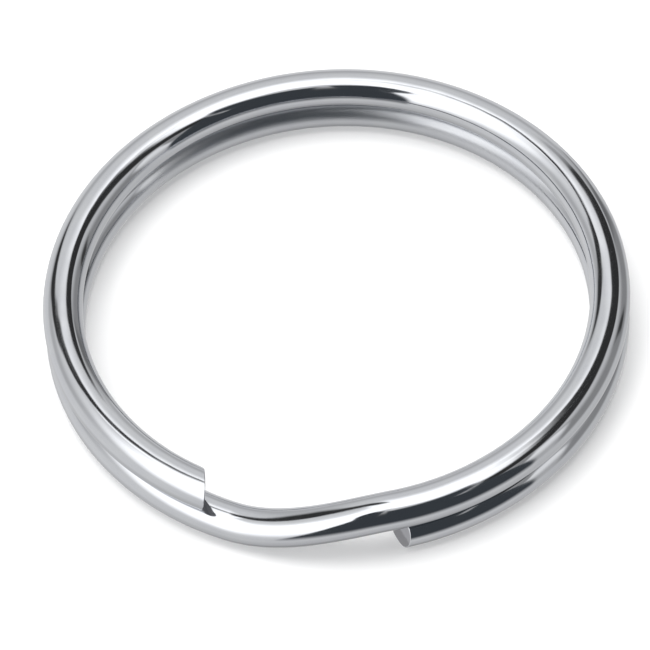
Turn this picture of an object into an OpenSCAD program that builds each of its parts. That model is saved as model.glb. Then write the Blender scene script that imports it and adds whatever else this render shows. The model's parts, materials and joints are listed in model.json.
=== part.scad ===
// Split key ring: one length of flattened spring wire, coiled two turns, in millimetres.
// The ring lies flat on z = 0 with its centre on the Z axis. The front of the ring is at -Y.
// A station is an angle along the wire in degrees: 0 at the front of the lower turn, growing
// anticlockwise seen from above, so 360 is the front again, one turn further on.
// Each node is one stretch of the wire, cut square across at the stations where it flexes.

/* [Ring] */
// Outside diameter of the coil
ring_od = 25; // [18:0.5:40]
// How far the upper end springs in from the circle
upper_tuck = 0.14; // [0:0.01:0.3]

/* [Wire] */
// Width of the wire across the ring
wire_w = 1.7; // [1.3:0.05:2.4]
// Height of the wire along the ring's axis
wire_h = 1.4; // [1:0.05:2]
// Share of half the wire's height that its rounded edges take
edge_share = 0.93; // [0.6:0.01:0.97]

/* [Ends and crossover] */
// Station of the lower end's cut
lower_end_at = 10; // [9:1:14]
// Angle from the front back to the upper end's cut
upper_end_before = 30; // [27:1:36]
// Angle from the front back to the start of the crossover bend
crossover_before = 25; // [18:1:25]
// Angle from the front on to the finish of the crossover bend
crossover_after = 9; // [3:1:9]
// Skew of the lower end's cut away from square across the wire
lower_cut_skew = 14; // [0:1:32]
// Skew of the upper end's cut away from square across the wire
upper_cut_skew = 29; // [0:1:32]
// Lean of both cuts from upright, the same way round the ring, as one shear stroke leaves them
cut_bevel = 12; // [0:1:16]

/* [Flexing stretches] */
// Length of each flexing stretch, as an angle round the ring
link_deg = 30; // [28:1:30]

/* [Hidden] */

turn = 360;
links = 6;                                    // flexing stretches behind each free end
held = 4;                                     // stretches of each turn that stay still
mid_r = (ring_od - wire_w) / 2;               // radius of the wire's centre line
edge_r = edge_share * wire_h / 2;             // radius of the wire's rounded edges
upper_end_at = 2 * turn - upper_end_before;
crossover_from = turn - crossover_before;
crossover_to = turn + crossover_after;
lower_held_from = lower_end_at + links * link_deg;
lower_held_deg = (crossover_from - lower_held_from) / held;
upper_held_to = upper_end_at - links * link_deg;
upper_held_deg = (upper_held_to - crossover_to) / held;

tucked_links = 2;                             // stretches of the upper end on the tighter arc
tuck_from = upper_end_at - tucked_links * link_deg;
tuck_shift = upper_tuck / (1 - cos(tucked_links * link_deg));

arc_fn = 360;
edge_fn = 48;
edge_steps = 6;                               // facets round each edge of the crossover bend
bend_steps = 34;                              // rings along the crossover bend
cut_spare = 8;                                // extra arc that an end cut trims away, in degrees
cutter = 4 * wire_w;
plating = [0.80, 0.81, 0.83];

// Direction from the ring's centre to a station
function out_dir(at) = [sin(at), -cos(at)];

// Wire section with its centre at the origin: flat top and bottom, rounded edges
module section_2d() {
    square([wire_w, wire_h - 2 * edge_r], center = true);
    square([wire_w - 2 * edge_r, wire_h], center = true);
    for (x = [-1, 1], y = [-1, 1])
        translate([x * (wire_w / 2 - edge_r), y * (wire_h / 2 - edge_r)])
            circle(r = edge_r, $fn = edge_fn);
}

// Arc of wire from one station to the next, on a circle of radius r, resting on height z
module wire_arc(from, to, r, z) {
    translate([0, 0, z + wire_h / 2])
        rotate([0, 0, from - 90])
            rotate_extrude(angle = to - from, $fn = arc_fn)
                translate([r, 0]) section_2d();
}

module lower_arc(from, to) {
    color(plating) wire_arc(from, to, mid_r, 0);
}

module upper_arc(from, to) {
    color(plating) wire_arc(from, to, mid_r, wire_h);
}

// Arc of the upper end, which leaves the circle smoothly on a tighter one
module tucked_arc(from, to) {
    color(plating)
        translate(tuck_shift * out_dir(tuck_from))
            wire_arc(from, to, mid_r - tuck_shift, wire_h);
}

// Block behind a skewed, bevelled plane across the wire; side is -1 before the plane, 1 after it
module end_cutter(centre, z, at, skew, side) {
    translate([centre.x, centre.y, z + wire_h / 2])
        rotate([0, cut_bevel, at + skew])
            translate([side * cutter / 2, 0, 0])
                cube([cutter, cutter, cutter], center = true);
}

module lower_link(k) {
    lower_arc(lower_end_at + k * link_deg, lower_end_at + (k + 1) * link_deg);
}

module lower_held(k) {
    lower_arc(lower_held_from + k * lower_held_deg, lower_held_from + (k + 1) * lower_held_deg);
}

module upper_held(k) {
    upper_arc(crossover_to + k * upper_held_deg, crossover_to + (k + 1) * upper_held_deg);
}

module upper_link(k) {
    upper_arc(upper_held_to + k * link_deg, upper_held_to + (k + 1) * link_deg);
}

// Lower turn, from its free end round to the crossover
module lower_end() {
    difference() {
        lower_arc(lower_end_at - cut_spare, lower_end_at + link_deg);
        end_cutter(mid_r * out_dir(lower_end_at), 0, lower_end_at, lower_cut_skew, -1);
    }
}

module lower_front_right() { lower_link(1); }

module lower_right() { lower_link(2); }

module lower_right_rear() { lower_link(3); }

module lower_rear_right() { lower_link(4); }

module lower_rear() { lower_link(5); }

module lower_rear_left() { lower_held(0); }

module lower_left_rear() { lower_held(1); }

module lower_left() { lower_held(2); }

module lower_front_left() { lower_held(3); }

// Crossover: the wire climbs its own height, easing out of one turn and into the other
function ease(u) = u * u * (3 - 2 * u);

function section_point(i) =
    let (per_corner = edge_steps + 1,
         corner = floor(i / per_corner),
         a = 90 * corner + 90 * (i % per_corner) / edge_steps,
         x_side = (corner == 0 || corner == 3) ? 1 : -1,
         z_side = (corner < 2) ? 1 : -1)
    [x_side * (wire_w / 2 - edge_r) + edge_r * cos(a), z_side * (wire_h / 2 - edge_r) + edge_r * sin(a)];

function bend_point(j, i) =
    let (u = j / bend_steps,
         at = crossover_from + u * (crossover_to - crossover_from),
         p = section_point(i),
         xy = (mid_r + p[0]) * out_dir(at))
    [xy[0], xy[1], wire_h / 2 + wire_h * ease(u) + p[1]];

module crossover_bend() {
    n = 4 * (edge_steps + 1);
    points = [for (j = [0:bend_steps], i = [0:n - 1]) bend_point(j, i)];
    sides = [for (j = [0:bend_steps - 1], i = [0:n - 1], half = [0, 1])
        let (a = j * n + i, b = j * n + (i + 1) % n)
        half == 0 ? [a, b, b + n] : [a, b + n, a + n]];
    first = [for (i = [n - 1:-1:0]) i];
    last = [for (i = [0:n - 1]) bend_steps * n + i];
    color(plating) polyhedron(points, concat(sides, [first, last]), convexity = 4);
}

// Upper turn, from the crossover round to its free end
module upper_front_right() { upper_held(0); }

module upper_right() { upper_held(1); }

module upper_right_rear() { upper_held(2); }

module upper_rear_right() { upper_held(3); }

module upper_rear() { upper_link(0); }

module upper_rear_left() { upper_link(1); }

module upper_left_rear() { upper_link(2); }

module upper_left() { upper_link(3); }

module upper_front_left() { tucked_arc(tuck_from, tuck_from + link_deg); }

module upper_end() {
    tip = tuck_shift * out_dir(tuck_from) + (mid_r - tuck_shift) * out_dir(upper_end_at);
    difference() {
        tucked_arc(tuck_from + link_deg, upper_end_at + cut_spare);
        end_cutter(tip, wire_h, upper_end_at, upper_cut_skew, 1);
    }
}

lower_end();
lower_front_right();
lower_right();
lower_right_rear();
lower_rear_right();
lower_rear();
lower_rear_left();
lower_left_rear();
lower_left();
lower_front_left();
crossover_bend();
upper_front_right();
upper_right();
upper_right_rear();
upper_rear_right();
upper_rear();
upper_rear_left();
upper_left_rear();
upper_left();
upper_front_left();
upper_end();
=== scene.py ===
"""Looks of the split key ring: the plated wire, its sheared ends, the studio and the camera."""
import json
import math

import bpy
import numpy as np
from mathutils import Matrix, Vector


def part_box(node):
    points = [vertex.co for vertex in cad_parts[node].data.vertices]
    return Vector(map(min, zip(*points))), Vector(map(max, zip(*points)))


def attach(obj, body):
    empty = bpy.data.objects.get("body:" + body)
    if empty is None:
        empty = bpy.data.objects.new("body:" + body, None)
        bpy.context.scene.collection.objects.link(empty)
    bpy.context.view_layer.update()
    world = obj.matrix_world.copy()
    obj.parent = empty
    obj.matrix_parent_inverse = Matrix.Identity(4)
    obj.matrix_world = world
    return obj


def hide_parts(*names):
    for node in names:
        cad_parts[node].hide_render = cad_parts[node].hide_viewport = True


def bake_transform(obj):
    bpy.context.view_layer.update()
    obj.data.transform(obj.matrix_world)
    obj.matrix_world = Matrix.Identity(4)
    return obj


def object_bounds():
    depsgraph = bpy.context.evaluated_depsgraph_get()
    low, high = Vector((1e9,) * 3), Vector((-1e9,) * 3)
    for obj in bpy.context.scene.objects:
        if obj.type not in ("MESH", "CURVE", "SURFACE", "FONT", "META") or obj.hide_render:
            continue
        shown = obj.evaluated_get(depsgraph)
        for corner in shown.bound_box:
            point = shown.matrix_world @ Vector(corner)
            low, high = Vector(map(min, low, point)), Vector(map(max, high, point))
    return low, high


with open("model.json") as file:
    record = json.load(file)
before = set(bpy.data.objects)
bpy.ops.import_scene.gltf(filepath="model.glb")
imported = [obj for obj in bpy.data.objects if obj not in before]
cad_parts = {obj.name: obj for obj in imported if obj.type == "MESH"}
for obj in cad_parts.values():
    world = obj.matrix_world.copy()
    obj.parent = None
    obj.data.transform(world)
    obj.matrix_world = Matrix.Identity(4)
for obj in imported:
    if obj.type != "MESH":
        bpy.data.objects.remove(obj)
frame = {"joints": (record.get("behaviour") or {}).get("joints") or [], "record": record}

CAD_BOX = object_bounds()
MM = 0.001

# ---------------------------------------------------------------- sizes, read from the frame
JOINTS = {j["name"]: j for j in frame["joints"]}
MOUNTS = {m["name"]: m for m in frame["record"]["mounts"]}


def station_of(point):
    """Angle round the ring of a point, in degrees: 0 at the front, growing anticlockwise."""
    return math.degrees(math.atan2(point[0], -point[1])) % 360


RING_R = (CAD_BOX[1].x - CAD_BOX[0].x) / 2
WIRE_H = (CAD_BOX[1].z - CAD_BOX[0].z) / 2
MID_R = MOUNTS["wire_through_key_hole"]["pos_m"][0]
WIRE_W = 2 * (RING_R - MID_R)
CROWN = 8.0                         # lean of the crowned top and bottom at their sides, in degrees
SAME = 1e-6                         # stations closer than this many degrees are one station

UPPER_HINGE = 360 + station_of(JOINTS["upper_end_opening"]["pos_m"])
LOWER_HINGE = station_of(JOINTS["lower_end_opening"]["pos_m"])
LINK = 360 + station_of(JOINTS["upper_rear_left_flex"]["pos_m"]) - UPPER_HINGE
LINKS = 6                           # flexing stretches behind each free end
UPPER_END = UPPER_HINGE + LINKS * LINK
LOWER_END = LOWER_HINGE - LINKS * LINK
CROSS_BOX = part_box("crossover_bend")
CROSS_FROM = 360 - math.degrees(math.asin(-CROSS_BOX[0].x / RING_R))
CROSS_TO = 360 + math.degrees(math.asin(CROSS_BOX[1].x / RING_R))

TUCK_FROM = UPPER_END - 2 * LINK    # the upper end springs in from the circle after this station
TIP_R = Vector(MOUNTS["key_entry_upper_end"]["pos_m"][:2]).length
TUCK_K = 1 - math.cos(math.radians(UPPER_END - TUCK_FROM))
TUCK_SHIFT = (MID_R - math.sqrt(MID_R ** 2 - 2 * (MID_R ** 2 - TIP_R ** 2) / TUCK_K)) / 2

LOWER_SKEW = 14.0                   # skew of the lower end's cut away from square, in degrees
UPPER_SKEW = 29.0                   # skew of the upper end's cut
BEVEL = math.radians(12)            # lean of both cuts from upright
SKEW_RUN = 9.0                      # the rings turn from square to skewed over this many degrees
RIM_R = 0.04 * MM                   # rounding of a sheared end's rim
RIM_STEPS = 5                       # facets round that rim
FACE_RINGS = 7                      # steps in which a sheared face's mesh closes to its middle
STEP = 1.0                          # most degrees of arc between rings of the wire's mesh
CORNER_STEPS = 16                   # facets round each of the wire's four rounded edges
FLAT_STEPS = 4                      # facets across half of each crowned face


# ---------------------------------------------------------------- the wire's path and section
def ease(u):
    """Smooth step from 0 to 1 as u goes from 0 to 1."""
    u = np.clip(u, 0, 1)
    return u * u * (3 - 2 * u)


def ease_slope(u):
    """Slope of ease at u."""
    u = np.clip(u, 0, 1)
    return 6 * u * (1 - u)


def out_dir(at):
    """Horizontal direction from the ring's centre to a station."""
    a = np.radians(at)
    return np.stack([np.sin(a), -np.cos(a), np.zeros_like(a)], -1)


def along_dir(at):
    """Horizontal direction of the wire's run at a station."""
    a = np.radians(at)
    return np.stack([np.cos(a), np.sin(a), np.zeros_like(a)], -1)


def arc_centre(at):
    """Centre of the arc that the wire follows at a station, and that arc's radius."""
    tucked = np.asarray(at) > TUCK_FROM
    centre = np.where(tucked[..., None], TUCK_SHIFT * out_dir(np.full_like(at, TUCK_FROM)), 0.0)
    return centre, np.where(tucked, MID_R - TUCK_SHIFT, MID_R)


def climb(at):
    """Height of the wire's centre line, and its slope, at a station."""
    run = CROSS_TO - CROSS_FROM
    u = (at - CROSS_FROM) / run
    height = WIRE_H / 2 + WIRE_H * ease(u)
    slope = WIRE_H * ease_slope(u) / (MID_R * math.radians(run))
    return height, slope


def path_point(at):
    """Point of the wire's centre line at a station."""
    at = np.array([float(at)])
    centre, radius = arc_centre(at)
    point = centre + radius[:, None] * out_dir(at)
    point[:, 2] = climb(at)[0]
    return Vector(point[0])


def section():
    """Outline of the wire's section: across, up, and the outward normal's angle, anticlockwise.

    The top and bottom are slightly crowned, so their normals lean outwards by CROWN at each side.
    The rounded edges join the crowned faces smoothly and meet each other at the wire's sides."""
    crown = math.radians(CROWN)
    fall = math.tan(crown / 2)                # how far the crowned face falls, over its half width
    lean = 1 - math.sin(crown)
    half_flat = (WIRE_W * math.cos(crown) - WIRE_H * lean) / (2 * (math.cos(crown) - fall * lean))
    edge_r = (WIRE_W / 2 - half_flat) / lean
    face_r = half_flat / math.sin(crown)
    quarter = []
    for k in range(CORNER_STEPS + 1):         # from the outer side up to the crowned face
        a = (math.pi / 2 - crown) * k / CORNER_STEPS
        quarter.append((WIRE_W / 2 - edge_r + edge_r * math.cos(a), edge_r * math.sin(a), a))
    for k in range(1, FLAT_STEPS + 1):        # from there to the middle of the face
        a = math.pi / 2 - crown * (1 - k / FLAT_STEPS)
        quarter.append((face_r * math.cos(a), WIRE_H / 2 - face_r * (1 - math.sin(a)), a))
    top = quarter + [(-x, z, math.pi - a) for x, z, a in reversed(quarter[:-1])]
    bottom = [(-x, -z, a + math.pi) for x, z, a in top[1:-1]]
    return np.array(top + bottom)


SECTION = section()


def ring_points(at, inset=0.0):
    """Points, normals and places of a ring of the wire. at is a station for each of its points.

    A place is the distance round the coil's middle circle, then across and up the wire's section.
    inset moves the section's outline inwards."""
    across = SECTION[:, 0] - inset * np.cos(SECTION[:, 2])
    up = SECTION[:, 1] - inset * np.sin(SECTION[:, 2])
    centre, radius = arc_centre(at)
    height, slope = climb(at)
    tilt = np.arctan(slope)
    out, along = out_dir(at), along_dir(at)
    rise = -np.sin(tilt)[:, None] * along
    rise[:, 2] = np.cos(tilt)
    points = centre + radius[:, None] * out
    points[:, 2] = height
    points = points + across[:, None] * out + up[:, None] * rise
    normals = np.cos(SECTION[:, 2])[:, None] * out + np.sin(SECTION[:, 2])[:, None] * rise
    return points, normals, np.stack([np.radians(at) * MID_R, across, up], -1)


def cut_shift(at, skew, inset=0.0):
    """How far each point of the section moves along the ring to lie on a cut, in degrees."""
    radius = arc_centre(np.array([float(at)]))[1][0]
    across = SECTION[:, 0] - inset * np.cos(SECTION[:, 2])
    up = SECTION[:, 1] - inset * np.sin(SECTION[:, 2])
    reach = radius * math.sin(math.radians(skew)) - up * math.tan(BEVEL)
    return skew - np.degrees(np.arcsin(reach / (radius + across)))


def cut_facing(at, skew, side):
    """Direction that a cut faces. side is +1 for the upper end and -1 for the lower one."""
    turn = math.radians(at + skew)
    level = math.cos(BEVEL)
    return side * np.array([level * math.cos(turn), level * math.sin(turn), -math.sin(BEVEL)])


# ---------------------------------------------------------------- meshes
SHEARED_SLOT = 1                    # material of a sheared face; 0 is the plating


class Wire:
    """Collects the rings of one length of wire and makes them one closed mesh."""

    def __init__(self):
        self.points, self.normals, self.places = [], [], []
        self.faces, self.face_slots = [], []

    def add_ring(self, ring):
        """Stores a ring's points, normals and places, and gives the number of its first point."""
        start = sum(len(p) for p in self.points)
        for store, value in zip((self.points, self.normals, self.places), ring):
            store.append(value)
        return start

    def skin(self, a, b, slot=0):
        """Quads between two rings, where b lies further along the wire than a."""
        n = len(SECTION)
        for i in range(n):
            k = (i + 1) % n
            self.faces.append((a + i, b + i, b + k, a + k))
            self.face_slots.append(slot)

    def skin_outwards(self, a, b, side, slot=0):
        """Quads between two rings at an end, where b lies nearer to the end that side names."""
        first, second = (a, b) if side > 0 else (b, a)
        self.skin(first, second, slot)

    def fan(self, ring, tip, side, slot=0):
        """Triangles from a ring to a point; side is +1 at the far end and -1 at the near one."""
        n = len(SECTION)
        for i in range(n):
            edge = (ring + (i + 1) % n, ring + i)
            self.faces.append((*edge[::side], tip))
            self.face_slots.append(slot)

    def add_point(self, point, normal, place):
        return self.add_ring((np.array([point]), np.array([normal]), np.array([place])))


def flat_cap(wire, ring, at, side):
    """Closes the wire where it butts against its neighbour. side is +1 at the far end."""
    points, _, places = ring
    facing = side * along_dir(np.array([at]))[0]
    normals = np.tile(facing, (len(points), 1))
    a = wire.add_ring((points, normals, places))
    tip = wire.add_point(points.mean(0), facing, places.mean(0))
    wire.fan(a, tip, side)


def cut_end(wire, last, at, skew, side):
    """Rim and face of a sheared end. side is +1 for the upper end and -1 for the lower one."""
    facing = cut_facing(at, skew, side)
    previous = last
    for k in range(1, RIM_STEPS + 1):
        a = math.radians(90 * k / RIM_STEPS)
        inset = RIM_R * (1 - math.cos(a))
        back = RIM_R * (1 - math.sin(a))
        points, normals, places = ring_points(at + cut_shift(at, skew, inset), inset)
        points = points - back * facing
        normals = math.cos(a) * normals + math.sin(a) * facing
        current = wire.add_ring((points, normals, places))
        wire.skin_outwards(previous, current, side)
        previous = current
    middle = points.mean(0)
    mid_place = places.mean(0)
    flat = np.tile(facing, (len(points), 1))
    previous = wire.add_ring((points, flat, places))
    for k in range(1, FACE_RINGS):
        share = 1 - k / FACE_RINGS
        ring = (middle + share * (points - middle), flat, mid_place + share * (places - mid_place))
        current = wire.add_ring(ring)
        wire.skin_outwards(previous, current, side, SHEARED_SLOT)
        previous = current
    tip = wire.add_point(middle, facing, mid_place)
    wire.fan(previous, tip, side, SHEARED_SLOT)


def mesh_object(name, wire, materials):
    """Object of a wire's mesh, with its own normals and its points' places in millimetres."""
    points = np.concatenate(wire.points)
    normals = np.concatenate(wire.normals)
    places = np.concatenate(wire.places) / MM
    mesh = bpy.data.meshes.new(name)
    mesh.from_pydata(points.tolist(), [], wire.faces)
    for material in materials:
        mesh.materials.append(material)
    mesh.polygons.foreach_set("material_index", wire.face_slots)
    mesh.polygons.foreach_set("use_smooth", [True] * len(wire.faces))
    place = mesh.attributes.new("wire_place", "FLOAT_VECTOR", "POINT")
    place.data.foreach_set("vector", places.astype(np.float32).ravel())
    mesh.validate()
    corner = np.zeros(len(mesh.loops), np.int32)
    mesh.loops.foreach_get("vertex_index", corner)
    unit = normals / np.linalg.norm(normals, axis=1)[:, None]
    mesh.normals_split_custom_set(unit[corner].tolist())
    obj = bpy.data.objects.new(name, mesh)
    bpy.context.scene.collection.objects.link(obj)
    return obj


def pulled_back(ring, facing):
    """The ring at a cut, moved back from the cut's plane by the rim's radius."""
    points, normals, places = ring
    return points - RIM_R * facing, normals, places


def wire_length(name, start, end, materials):
    """One length of the wire from station start to station end, closed at both ends."""
    wire = Wire()
    cut_first = abs(start - LOWER_END) < SAME
    cut_last = abs(end - UPPER_END) < SAME
    count = max(2, math.ceil((end - start) / STEP) + 1)
    rings = []
    for at in np.linspace(start, end, count):
        stations = np.full(len(SECTION), at)
        if cut_first:
            stations = stations + cut_shift(at, LOWER_SKEW) * ease(1 - (at - start) / SKEW_RUN)
        if cut_last:
            stations = stations + cut_shift(at, UPPER_SKEW) * ease(1 - (end - at) / SKEW_RUN)
        rings.append(ring_points(stations))
    if cut_first:
        rings[0] = pulled_back(rings[0], cut_facing(start, LOWER_SKEW, -1))
    if cut_last:
        rings[-1] = pulled_back(rings[-1], cut_facing(end, UPPER_SKEW, 1))
    marks = [wire.add_ring(ring) for ring in rings]
    for a, b in zip(marks, marks[1:]):
        wire.skin(a, b)
    if cut_first:
        cut_end(wire, marks[0], start, LOWER_SKEW, -1)
    else:
        flat_cap(wire, rings[0], start, -1)
    if cut_last:
        cut_end(wire, marks[-1], end, UPPER_SKEW, 1)
    else:
        flat_cap(wire, rings[-1], end, 1)
    return mesh_object(name, wire, materials)


# ---------------------------------------------------------------- node helpers
class Graph:
    """Adds nodes to a tree and joins them up."""

    def __init__(self, tree):
        self.tree = tree
        tree.nodes.clear()

    def node(self, kind, **settings):
        """Adds a node of a kind, with its settings."""
        node = self.tree.nodes.new(kind)
        for key, value in settings.items():
            setattr(node, key, value)
        return node

    def put(self, socket, value):
        """Joins another node's output to a socket, or sets a constant directly on it."""
        if isinstance(value, bpy.types.NodeSocket):
            self.tree.links.new(value, socket)
        else:
            socket.default_value = value

    def math(self, operation, *values):
        node = self.node("ShaderNodeMath", operation=operation)
        for socket, value in zip(node.inputs, values):
            self.put(socket, value)
        return node.outputs[0]

    def ramp(self, value, low, high, low_to=0.0, high_to=1.0):
        """Smooth step of value from low to high."""
        node = self.node("ShaderNodeMapRange", interpolation_type="SMOOTHSTEP")
        for key, number in (("Value", value), ("From Min", low), ("From Max", high),
                            ("To Min", low_to), ("To Max", high_to)):
            self.put(node.inputs[key], number)
        return node.outputs[0]

    def band(self, value, low, high, soft_low, soft_high=None):
        """1 between low and high, falling to 0 over the soft widths centred on them."""
        soft_high = soft_low if soft_high is None else soft_high
        rise = self.ramp(value, self.offset(low, -soft_low / 2), self.offset(low, soft_low / 2))
        fall = self.ramp(value, self.offset(high, -soft_high / 2), self.offset(high, soft_high / 2),
                         1.0, 0.0)
        return self.math("MULTIPLY", rise, fall)

    def offset(self, value, amount):
        """value + amount, where value is a number or another node's output."""
        if isinstance(value, bpy.types.NodeSocket):
            return self.math("ADD", value, amount)
        return value + amount

    def mix(self, factor, a, b):
        """Colour a where factor is 0 and b where it is 1."""
        node = self.node("ShaderNodeMix", data_type="RGBA")
        self.put(node.inputs[0], factor)
        self.put(node.inputs[6], a)
        self.put(node.inputs[7], b)
        return node.outputs[2]

    def colour(self, value):
        """A value as a neutral colour."""
        node = self.node("ShaderNodeCombineXYZ")
        for socket in node.inputs:
            self.put(socket, value)
        return node.outputs[0]

    def noise(self, vector, scale, detail=2.0, roughness=0.5):
        node = self.node("ShaderNodeTexNoise")
        self.put(node.inputs["Vector"], vector)
        node.inputs["Scale"].default_value = scale
        node.inputs["Detail"].default_value = detail
        node.inputs["Roughness"].default_value = roughness
        return node.outputs[0]

    def stretched(self, vector, scale):
        """A vector with each of its parts multiplied by its own scale."""
        node = self.node("ShaderNodeVectorMath", operation="MULTIPLY")
        self.put(node.inputs[0], vector)
        node.inputs[1].default_value = scale
        return node.outputs[0]

    def bump(self, height, strength, distance, normal=None):
        node = self.node("ShaderNodeBump")
        node.inputs["Strength"].default_value = strength
        node.inputs["Distance"].default_value = distance
        self.put(node.inputs["Height"], height)
        if normal is not None:
            self.put(node.inputs["Normal"], normal)
        return node.outputs[0]


def grey(level, tint=(1.0, 1.0, 1.0)):
    """A grey of one level, or nearly a grey when it is tinted."""
    return (level * tint[0], level * tint[1], level * tint[2], 1.0)


# ---------------------------------------------------------------- materials
HAZE_FROM, HAZE_TO = 120, 225       # stations between which the lower turn's plate is rougher
HAZE_SOFT = 20                      # degrees over which that roughness comes and goes
HAZE = 0.28                         # how much rougher the plate is there


def station_mm(at):
    """Distance along the wire, in millimetres, of a station."""
    return math.radians(at) * MID_R / MM


def plating():
    """Bright nickel-chrome plate: faint waviness, lengthwise drawing marks, slight clouding.

    It is rougher at the back of the lower turn, which tones the reflections down there."""
    material = bpy.data.materials.new("bright_plate")
    material.use_nodes = True
    g = Graph(material.node_tree)
    place = g.node("ShaderNodeAttribute", attribute_name="wire_place").outputs["Vector"]
    parts = g.node("ShaderNodeSeparateXYZ")
    g.put(parts.inputs[0], place)
    along = parts.outputs[0]
    drawn = g.noise(g.stretched(place, (0.35, 9.0, 9.0)), 1.0, 3.0, 0.6)
    waves = g.noise(g.stretched(place, (0.45, 0.9, 0.9)), 1.0, 1.0)
    clouds = g.noise(g.stretched(place, (0.8, 1.6, 1.6)), 1.0, 4.0, 0.65)
    shader = g.node("ShaderNodeBsdfPrincipled")
    shader.inputs["Metallic"].default_value = 1.0
    clouded = grey(0.63, (0.975, 0.995, 1.045))
    clear = grey(0.65, (0.98, 1.0, 1.035))
    g.put(shader.inputs["Base Color"], g.mix(g.ramp(clouds, 0.35, 0.7), clouded, clear))
    haze = g.band(along, station_mm(HAZE_FROM), station_mm(HAZE_TO), station_mm(HAZE_SOFT))
    rough = g.math("ADD", g.ramp(drawn, 0.3, 0.75, 0.05, 0.11), g.math("MULTIPLY", haze, HAZE))
    g.put(shader.inputs["Roughness"], rough)
    wavy = g.bump(waves, 0.6, 0.02 * MM)
    g.put(shader.inputs["Normal"], g.bump(drawn, 0.25, 0.002 * MM, wavy))
    output = g.node("ShaderNodeOutputMaterial")
    g.put(output.inputs["Surface"], shader.outputs[0])
    return material


def sheared():
    """Bare steel of a sheared end: a smooth upper part with drag lines, a grainy lower part."""
    material = bpy.data.materials.new("sheared_steel")
    material.use_nodes = True
    g = Graph(material.node_tree)
    place = g.node("ShaderNodeAttribute", attribute_name="wire_place").outputs["Vector"]
    drag = g.noise(g.stretched(place, (6.0, 14.0, 0.8)), 1.0, 2.0)
    grain = g.noise(place, 22.0, 4.0, 0.7)
    parts = g.node("ShaderNodeSeparateXYZ")
    g.put(parts.inputs[0], place)
    wobble = g.math("MULTIPLY", g.noise(place, 3.0), 0.3)
    torn = g.ramp(g.math("ADD", parts.outputs[2], wobble), 0.05, 0.2, 1.0, 0.0)
    shader = g.node("ShaderNodeBsdfPrincipled")
    shader.inputs["Metallic"].default_value = 1.0
    smooth_steel = grey(0.40, (0.97, 0.98, 1.05))
    torn_steel = grey(0.32, (0.98, 0.98, 1.04))
    g.put(shader.inputs["Base Color"], g.mix(torn, smooth_steel, torn_steel))
    g.put(shader.inputs["Roughness"], g.ramp(torn, 0.0, 1.0, 0.28, 0.5))
    texture = g.math("ADD", g.math("MULTIPLY", grain, torn), g.math("MULTIPLY", drag, 0.5))
    g.put(shader.inputs["Normal"], g.bump(texture, 0.5, 0.015 * MM))
    output = g.node("ShaderNodeOutputMaterial")
    g.put(output.inputs["Surface"], shader.outputs[0])
    return material


def paper():
    """Plain white sweep that the ring lies on."""
    material = bpy.data.materials.new("white_sweep")
    material.use_nodes = True
    shader = material.node_tree.nodes["Principled BSDF"]
    shader.inputs["Base Color"].default_value = grey(0.94)
    shader.inputs["Roughness"].default_value = 1.0
    shader.inputs["Specular IOR Level"].default_value = 0.0
    return material


# ---------------------------------------------------------------- pieces
def build_held(names, stations, materials):
    """Lengths that ride on the held coil. stations are their ends, one more than the names."""
    for name, start, end in zip(names, stations, stations[1:]):
        piece = wire_length(name + "_wire", start, end, materials)
        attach(piece, "held_coil")
        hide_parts(name)


def build_flexing(names, hinge, way, free_end, materials):
    """Lengths that lie across one hinge each. way is +1 up the coil and -1 down it."""
    for k, name in enumerate(names):
        at = hinge + way * k * LINK
        near = at - way * LINK / 2
        far = at + way * LINK / 2
        last = k == len(names) - 1
        ends = sorted([near, free_end if last else far])
        piece = wire_length(name + "_wire", *ends, materials)
        path_point(near)
        path_point(far)
        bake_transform(piece)
        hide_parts(name)


def build_ring():
    """All 21 lengths of the wire: two flexing chains and the held coil between them."""
    materials = [plating(), sheared()]
    upper = ["upper_rear", "upper_rear_left", "upper_left_rear", "upper_left", "upper_front_left",
             "upper_end"]
    lower = ["lower_rear", "lower_rear_right", "lower_right_rear", "lower_right",
             "lower_front_right", "lower_end"]
    build_flexing(upper, UPPER_HINGE, 1, UPPER_END, materials)
    build_flexing(lower, LOWER_HINGE, -1, LOWER_END, materials)
    held_lower = ["lower_rear_left", "lower_left_rear", "lower_left", "lower_front_left"]
    step = (CROSS_FROM - LOWER_HINGE) / len(held_lower)
    ends = [LOWER_HINGE + LINK / 2] + [LOWER_HINGE + step * k for k in range(1, len(held_lower) + 1)]
    build_held(held_lower, ends, materials)
    build_held(["crossover_bend"], [CROSS_FROM, CROSS_TO], materials)
    held_upper = ["upper_front_right", "upper_right", "upper_right_rear", "upper_rear_right"]
    step = (UPPER_HINGE - CROSS_TO) / len(held_upper)
    ends = [CROSS_TO + step * k for k in range(len(held_upper))] + [UPPER_HINGE - LINK / 2]
    build_held(held_upper, ends, materials)


# ---------------------------------------------------------------- studio
def floor():
    """White sweep just under the ring. The wire reflects the studio's table instead of it."""
    half = 1.5
    drop = 0.005 * MM
    mesh = bpy.data.meshes.new("sweep")
    corners = [(-half, -half, -drop), (half, -half, -drop), (half, half, -drop), (-half, half, -drop)]
    mesh.from_pydata(corners, [], [(0, 1, 2, 3)])
    mesh.materials.append(paper())
    obj = bpy.data.objects.new("sweep", mesh)
    obj.visible_glossy = False
    bpy.context.scene.collection.objects.link(obj)


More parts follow.
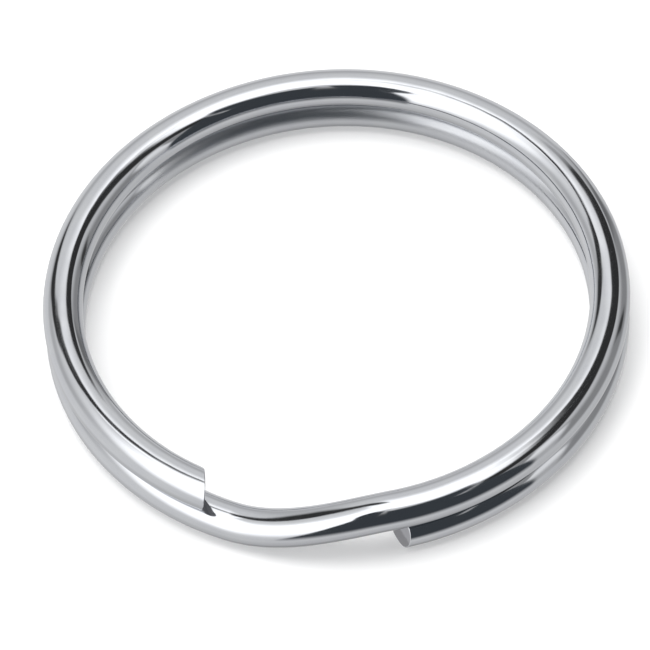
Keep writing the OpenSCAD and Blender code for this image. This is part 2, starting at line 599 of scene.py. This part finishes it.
class Surround:
    """Light that comes from each direction, painted layer over layer.

    Azimuth runs from 0 on the camera's side through 90 at +X and 180 at the back, to 360. signed
    is the same angle from -180 to 180. Elevation is 90 overhead. All three are in degrees."""

    def __init__(self, g):
        self.g = g
        direction = g.node("ShaderNodeTexCoord").outputs["Generated"]
        parts = g.node("ShaderNodeSeparateXYZ")
        g.put(parts.inputs[0], direction)
        x, y, z = parts.outputs
        degrees = 180 / math.pi
        self.signed = g.math("MULTIPLY", g.math("ARCTAN2", x, g.math("MULTIPLY", y, -1.0)), degrees)
        self.azimuth = g.math("FLOORED_MODULO", self.signed, 360.0)
        self.elevation = g.math("MULTIPLY", g.math("ARCSINE", z), degrees)
        self.light = grey(0.98)

    def paint(self, colour, around, height):
        """Covers what is there with a colour, as far as both masks reach."""
        mask = self.g.math("MULTIPLY", around, height)
        self.light = self.g.mix(mask, self.light, colour)


def right_wall(s):
    """Grey wall, lighter towards its top, with a strip light, a stand and a dark edge on it."""
    g, azimuth, elevation = s.g, s.azimuth, s.elevation
    s.paint(grey(0.38), g.band(azimuth, 62, 144, 4, 8), g.band(elevation, -90, 48, 1, 10))
    s.paint(grey(0.80), g.band(azimuth, 84, 142, 8), g.band(elevation, 31, 52, 24, 10))
    strip_left = g.ramp(elevation, 22, 52, 61, 76)
    strip_right = g.ramp(elevation, -5, 35, 72, 82)
    strip = g.ramp(elevation, 5, 32, 0.66, 1.2)
    s.paint(g.colour(strip), g.band(azimuth, strip_left, strip_right, 4, 6),
            g.band(elevation, -90, 44, 1, 12))
    s.paint(grey(0.07), g.band(azimuth, 111, 118, 4), g.band(elevation, 3, 25, 8, 16))
    s.paint(grey(0.24), g.band(azimuth, 139, 154, 6, 4), g.band(elevation, 1, 28, 12, 10))


def back_wall(s):
    """Low grey wall at the back."""
    g = s.g
    s.paint(grey(0.68), g.band(s.azimuth, 150, 268, 8, 36), g.band(s.elevation, 10, 34, 18, 22))


def ceiling(s):
    """White ceiling at the back, coming down to a point behind the ring."""
    g = s.g
    white = grey(1.95)
    s.paint(white, g.band(s.azimuth, 140, 285, 30, 20), g.ramp(s.elevation, 58, 66))
    s.paint(white, g.band(s.azimuth, 72, 180, 24, 4), g.ramp(s.elevation, 63, 72))
    s.paint(white, g.band(s.azimuth, 166, 206, 6), g.ramp(s.elevation, 48, 58))


def dark_arch(s):
    """Dark arch that sweeps from the room up over the right and down to the back."""
    g, azimuth = s.g, s.azimuth
    low = g.math("ADD", g.ramp(azimuth, 128, 150, 48, 33), g.ramp(azimuth, 154, 177, 0, 16))
    high = g.ramp(azimuth, 138, 172, 66, 58)
    s.paint(grey(0.045), g.band(azimuth, 60, 170, 4, 5), g.band(s.elevation, low, high, 6, 6))


def left_softbox(s):
    """Softbox whose lower edge rises towards the back, where it fades out."""
    g, azimuth = s.g, s.azimuth
    low = g.ramp(azimuth, 232, 322, 56, 10)
    s.paint(grey(1.95), g.band(azimuth, 232, 327, 56, 5), g.band(s.elevation, low, 77, 28, 8))


def bent_pole(s):
    """Dark pole at the back left, bent over at its top."""
    g = s.g
    middle = g.ramp(s.elevation, 40, 66, 219, 188)
    s.paint(grey(0.05), g.band(s.azimuth, g.offset(middle, -10.0), g.offset(middle, 6.0), 6),
            g.band(s.elevation, 19, 60, 12, 5))


def table(s):
    """Pale table below the horizon, duller towards the front and on the right. Straight down, under the
    ring, it darkens further: painted shade for the ring's shadow on the floor.
    """
    g, elevation = s.g, s.elevation
    top = g.mix(g.band(s.signed, -60, 70, 60, 40), grey(1.0), grey(0.88))
    top = g.mix(g.band(s.azimuth, 60, 165, 20), top, grey(0.80))
    # painted shade: the table darkens steeply downwards, standing in for the ring's own shadow on the
    # floor beside the wire
    top = g.mix(g.ramp(elevation, -26, -56), top, grey(0.74))
    top = g.mix(g.ramp(elevation, -56, -84), top, grey(0.45))
    s.light = g.mix(g.ramp(elevation, -2, -20), s.light, top)


def dark_room(s):
    """Dark room behind the camera, with a dim lamp high in it and a thin bright line on its right."""
    g, signed, elevation = s.g, s.signed, s.elevation
    left = g.ramp(elevation, 48, 96, -32, -92)
    right = g.ramp(elevation, 62, 84, 62, 125)
    top = g.ramp(signed, -15, 25, 82, 75)
    s.paint(grey(0.072, (0.88, 1.0, 1.13)), g.band(signed, left, right, 3),
            g.band(elevation, -14, top, 28, 8))
    lamp = g.ramp(elevation, 55, 86, 0.15, 0.9)
    s.paint(g.colour(lamp), g.band(signed, -7, 4, 4), g.band(elevation, 58, 88, 24, 4))
    gleam = g.ramp(elevation, 46, 82, 44, 90)
    s.paint(grey(0.6), g.band(signed, g.offset(gleam, -2.0), g.offset(gleam, 2.0), 3),
            g.band(elevation, 47, 69, 6))


def studio():
    """World of panels, walls, a table and a dark room, which light the ring and show in the wire."""
    world = bpy.data.worlds.new("studio")
    world.use_nodes = True
    g = Graph(world.node_tree)
    s = Surround(g)
    for paint in (right_wall, back_wall, ceiling, dark_arch, left_softbox, bent_pole, table, dark_room):
        paint(s)
    background = g.node("ShaderNodeBackground")
    g.put(background.inputs["Color"], s.light)
    background.inputs["Strength"].default_value = 0.863
    output = g.node("ShaderNodeOutputWorld")
    g.put(output.inputs["Surface"], background.outputs[0])
    bpy.context.scene.world = world


def overhead_light(name, energy, casts_shadow):
    """Wide soft light above the ring, which the wire doesn't reflect.

    One such light casts a shadow and one doesn't, so that the floor's shadow stays pale."""
    light = bpy.data.lights.new(name, "AREA")
    light.shape = "DISK"
    light.size = 0.6
    light.energy = energy
    light.use_shadow = casts_shadow
    obj = bpy.data.objects.new(name, light)
    azimuth, elevation, distance = math.radians(-150), math.radians(80), 0.7
    obj.location = Vector((
        math.sin(azimuth) * math.cos(elevation) * distance,
        -math.cos(azimuth) * math.cos(elevation) * distance,
        math.sin(elevation) * distance,
    ))
    obj.rotation_euler = (-obj.location).to_track_quat("-Z", "Y").to_euler()
    obj.visible_glossy = False
    bpy.context.scene.collection.objects.link(obj)


def camera():
    """Long lens from the front, 52 degrees up, turned a little clockwise."""
    elevation = math.radians(51.83)
    roll = math.radians(3.63)
    distance = 7 * 2 * RING_R
    back = Vector((0, -math.cos(elevation), math.sin(elevation)))
    right = Vector((1, 0, 0))
    up = back.cross(right)
    aside, below = 0.0223, 0.0016             # how far off centre the camera aims, in diameters
    aim = -aside * 2 * RING_R * right - below * 2 * RING_R * up
    data = bpy.data.cameras.new("camera")
    data.lens = 225.5
    data.sensor_width = 36.0
    data.clip_start = 0.01
    data.clip_end = 10.0
    obj = bpy.data.objects.new("camera", data)
    away = (distance * back - aim).normalized()
    side = up.cross(away).normalized()
    top = away.cross(side)
    rolled_side = math.cos(roll) * side - math.sin(roll) * top
    rolled_top = math.cos(roll) * top + math.sin(roll) * side
    turn = Matrix((rolled_side, rolled_top, away)).transposed().to_4x4()
    obj.matrix_world = Matrix.Translation(distance * back) @ turn
    bpy.context.scene.collection.objects.link(obj)
    bpy.context.scene.camera = obj


camera()
build_ring()
floor()
studio()
overhead_light("overhead", 2.4, True)
overhead_light("fill", 1.9, False)
bpy.context.scene.view_settings.view_transform = "Standard"
